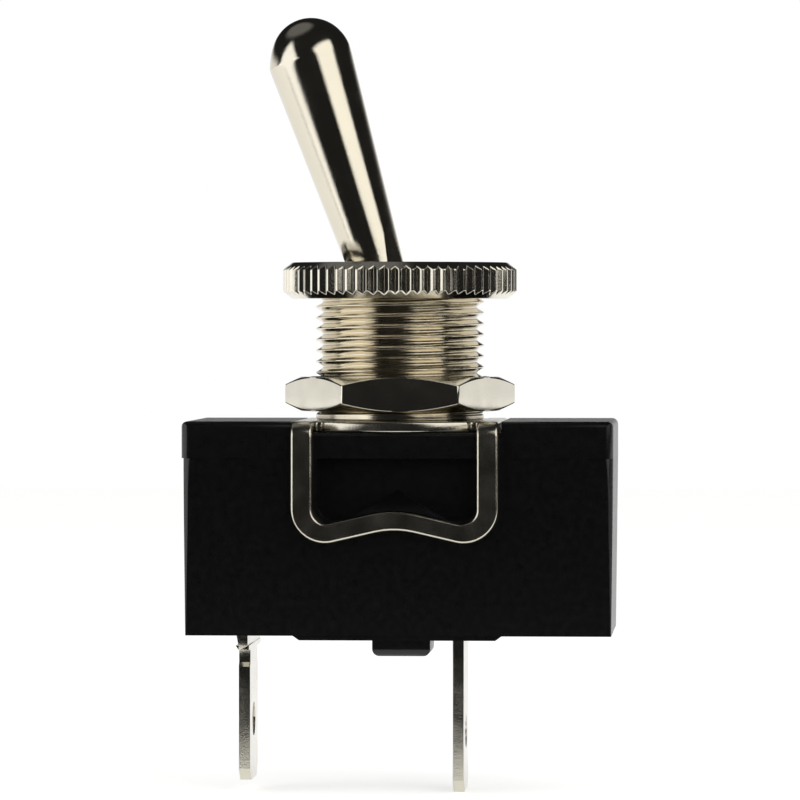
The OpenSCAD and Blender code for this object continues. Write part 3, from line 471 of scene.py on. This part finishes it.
def phenolic(name, tint, roughness):
    """Compression-moulded phenolic: near black, satin, with the faint mottle of its filler."""
    material, tree, place = new_material(name)
    mottle = add(tree, "ShaderNodeTexNoise",
                 {"Vector": place, "Scale": 1 / (FILLER_SIZE * MM), "Detail": 5.0})
    fine = add(tree, "ShaderNodeTexNoise",
               {"Vector": place, "Scale": 1 / (SKIN_GRAIN * MM), "Detail": 2.0})
    tone = add(tree, "ShaderNodeMix", {"Factor": mottle.outputs["Fac"], "A": colour(tint),
                                       "B": colour(FILLER_GREY)}, data_type="RGBA")
    dull = add(tree, "ShaderNodeMapRange", {"Value": mottle.outputs["Fac"], "To Min": roughness - 0.05,
                                            "To Max": roughness + 0.1}).outputs["Result"]
    bump = add(tree, "ShaderNodeBump", {"Height": fine.outputs["Fac"], "Distance": SKIN_DEPTH * MM,
                                        "Strength": 1.0}).outputs["Normal"]
    shader = add(tree, "ShaderNodeBsdfPrincipled",
                 {"Base Color": tone.outputs["Result"], "Roughness": dull, "IOR": 1.5, "Normal": bump})
    finish_material(tree, shader)
    return material


def plain_metal(name, tint, roughness):
    """Drawn or rolled metal inside the housing, with a faint cloud in its gloss."""
    return nickel(name, tint, roughness, PLAIN_GRAIN, PLAIN_GRAIN_DEPTH)


# ---------------------------------------------------------------- the parts

# The lever mirrors both lamps in clean bands. The bush is yellower and its grain runs round it. The
# nuts are the palest and mirror sharply, the strap is tumbled dull, and the blades' tin is greyer.
# Cover and base are nearly black, the base a shade darker.
bat_nickel = nickel("polished_nickel", "#dcd5c5", 0.08, 0.12, 0.006)
bush_nickel = nickel("turned_nickel", "#dacfb6", 0.12, 0.12, 0.003, (0.35, 0.35, 3))
nut_nickel = nickel("nut_nickel", "#e4e0d2", 0.11, 0.12, 0.002)
strap_nickel = nickel("tumbled_nickel", "#cfcabb", 0.17, 0.13, 0.007)
black_cover = phenolic("cover_phenolic", "#070708", 0.27)
black_base = phenolic("base_phenolic", "#030304", 0.28)
blade_tin = nickel("tin_plate", "#c9c8bd", 0.14, 0.1, 0.006)

bat_lever(bat_nickel)
screw_bush(bush_nickel)
knurled_ring(nut_nickel)
hex_ring(nut_nickel)
eased_copy("mounting_strap", "sprung_strap", "housing", strap_nickel, 0.2, 4)
eased_copy("cover", "moulded_cover", "housing", black_cover, 0.1)
eased_copy("base", "moulded_base", "housing", black_base, 0.08)
eased_copy("load_terminal", "load_blade", "housing", blade_tin, 0.05)
eased_copy("common_terminal", "common_blade", "housing", blade_tin, 0.05)

inner_finish = {
    "lever_pin": plain_metal("drawn_steel", "#b4b2ac", 0.25),
    "lever_spring": plain_metal("spring_wire", "#a9a9a6", 0.3),
    "cradle_rivet": plain_metal("rivet_steel", "#b8b4a8", 0.3),
    "fixed_contact": plain_metal("contact_silver", "#ecebe6", 0.2),
    "moving_contact": plain_metal("contact_silver_dome", "#ecebe6", 0.2),
    "rocker": plain_metal("rolled_copper", "#c98a63", 0.28),
    "rocker_cradle": plain_metal("rolled_brass", "#c6a765", 0.3),
    "plunger": phenolic("ivory_nylon", "#e2dac4", 0.4),
}
for node_name, finish in inner_finish.items():
    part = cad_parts[node_name]
    part.data.materials.clear()
    part.data.materials.append(finish)


# ---------------------------------------------------------------- floor, lamps, world, camera

CAMERA_TURN = math.radians(3.5)
CAMERA_RISE = math.radians(0.85)
CAMERA_DISTANCE = 0.4
CAMERA_LENS = 253.8        # on a sensor 36 mm wide
AIM = Vector((0, 0, -1.66 * MM))
FLOOR_HALF_WIDTH = 0.7     # metres
FLOOR_FRONT = -0.035
FLOOR_GLOW = 0.62
FILL_LIGHT = 0.45
DARK_STUDIO = 0.014
SWEEP_WHITE = 0.95
CEILING_PATCH = (-118, 64)
CEILING_GREY = 0.15


def from_camera(azimuth, elevation):
    """Direction at an azimuth to the right of the camera and an elevation, both in degrees."""
    a, e = CAMERA_TURN + math.radians(azimuth), math.radians(elevation)
    return Vector((math.sin(a) * math.cos(e), -math.cos(a) * math.cos(e), math.sin(e)))


def make_camera():
    camera = bpy.data.objects.new("camera", bpy.data.cameras.new("camera"))
    bpy.context.scene.collection.objects.link(camera)
    back = from_camera(0, math.degrees(CAMERA_RISE))
    camera.location = AIM + back * CAMERA_DISTANCE
    camera.rotation_euler = (-back).to_track_quat("-Z", "Y").to_euler()
    camera.data.sensor_width = 36
    camera.data.lens = CAMERA_LENS
    camera.data.clip_start, camera.data.clip_end = 0.01, 20
    bpy.context.scene.camera = camera


def softbox(name, place, facing, width, height, roll, radiance, tint, distance=0.42):
    """Rectangular lamp of one radiance all over: power = radiance * pi * width * height.

    place and facing are each an azimuth and an elevation: where it stands, and where its back looks.
    """
    data = bpy.data.lights.new(name, "AREA")
    data.shape = "RECTANGLE"
    data.size, data.size_y = width, height
    data.energy = radiance * math.pi * width * height
    data.color = colour(tint)[:3]
    lamp = bpy.data.objects.new(name, data)
    bpy.context.scene.collection.objects.link(lamp)
    lamp.location = AIM + from_camera(*place) * distance
    turned = (-from_camera(*facing)).to_track_quat("-Z", "Y").to_matrix()
    lamp.rotation_euler = (turned @ Matrix.Rotation(math.radians(roll), 3, "Z")).to_euler()


def make_floor():
    """Pale sheet under the terminals. It adds white to what camera and mirror rays see of it."""
    z = cad_bounds[0].z
    mesh = bpy.data.meshes.new("floor")
    half = FLOOR_HALF_WIDTH
    sheet = [(-half, FLOOR_FRONT, z), (half, FLOOR_FRONT, z), (half, half, z), (-half, half, z)]
    mesh.from_pydata(sheet, [], [(0, 1, 2, 3)])
    floor = bpy.data.objects.new("floor", mesh)
    bpy.context.scene.collection.objects.link(floor)
    material = bpy.data.materials.new("floor")
    material.use_nodes = True
    tree = material.node_tree
    tree.nodes.clear()
    path = add(tree, "ShaderNodeLightPath")
    seen = add(tree, "ShaderNodeMath",
               {0: path.outputs["Is Camera Ray"], 1: path.outputs["Is Glossy Ray"]},
               operation="MAXIMUM").outputs[0]
    glow = add(tree, "ShaderNodeMath", {0: seen, 1: FLOOR_GLOW}, operation="MULTIPLY").outputs[0]
    matt = add(tree, "ShaderNodeBsdfDiffuse", {"Color": colour("#e8e8e6")})
    light = add(tree, "ShaderNodeEmission", {"Color": colour("#ffffff"), "Strength": glow})
    both = add(tree, "ShaderNodeAddShader", {0: matt.outputs[0], 1: light.outputs[0]})
    add(tree, "ShaderNodeOutputMaterial", {"Surface": both.outputs[0]})
    mesh.materials.append(material)


def make_world():
    """White for the camera; for mirror rays a low white sweep behind the object in a dark room.

    A grey patch of ceiling shows in mirrors too. All other rays meet one even grey fill light.
    """
    world = bpy.data.worlds.new("studio")
    bpy.context.scene.world = world
    world.use_nodes = True
    tree = world.node_tree
    tree.nodes.clear()
    path = add(tree, "ShaderNodeLightPath")
    way = add(tree, "ShaderNodeTexCoord").outputs["Generated"]
    back = -from_camera(0, 0)
    behind = add(tree, "ShaderNodeVectorMath", {0: way, 1: back},
                 operation="DOT_PRODUCT").outputs["Value"]
    rise = add(tree, "ShaderNodeSeparateXYZ", {0: way}).outputs["Z"]
    rear = add(tree, "ShaderNodeMapRange",
               {"Value": behind, "From Min": 0.2, "From Max": 0.45}).outputs[0]
    low = add(tree, "ShaderNodeMapRange",
              {"Value": rise, "From Min": 0.2, "From Max": 0.1}).outputs[0]
    sweep = add(tree, "ShaderNodeMath", {0: rear, 1: low}, operation="MULTIPLY").outputs[0]
    overhead = add(tree, "ShaderNodeVectorMath", {0: way, 1: from_camera(*CEILING_PATCH)},
                   operation="DOT_PRODUCT").outputs["Value"]
    patch = add(tree, "ShaderNodeMapRange", {"Value": overhead, "From Min": 0.88, "From Max": 0.94,
                                             "To Max": CEILING_GREY}).outputs[0]
    mirror = add(tree, "ShaderNodeMath", {0: sweep, 1: patch}, operation="MAXIMUM").outputs[0]
    mirror = add(tree, "ShaderNodeMapRange",
                 {"Value": mirror, "To Min": DARK_STUDIO, "To Max": SWEEP_WHITE}).outputs[0]
    plain = add(tree, "ShaderNodeMix",
                {"Factor": path.outputs["Is Glossy Ray"], "A": FILL_LIGHT, "B": mirror},
                data_type="FLOAT").outputs["Result"]
    shown = add(tree, "ShaderNodeMath",
                {0: path.outputs["Is Camera Ray"], 1: path.outputs["Is Transmission Ray"]},
                operation="MAXIMUM").outputs[0]
    strength = add(tree, "ShaderNodeMix", {"Factor": shown, "A": plain, "B": 1.0},
                   data_type="FLOAT").outputs["Result"]
    light = add(tree, "ShaderNodeBackground", {"Color": colour("#ffffff"), "Strength": strength})
    add(tree, "ShaderNodeOutputWorld", {"Surface": light.outputs[0]})


make_camera()
make_floor()
make_world()
softbox("left_softbox", (-66, 4.8), (-76, 17), 0.4, 0.42, 56, 1.35, "#ffffff")
softbox("right_softbox", (39.4, 25.7), (51, 37), 0.41, 0.385, 3.2, 1.35, "#fffdf8")

bpy.context.scene.view_settings.view_transform = "Standard"


def corners(bounds):
    return [list(corner) for corner in bounds]
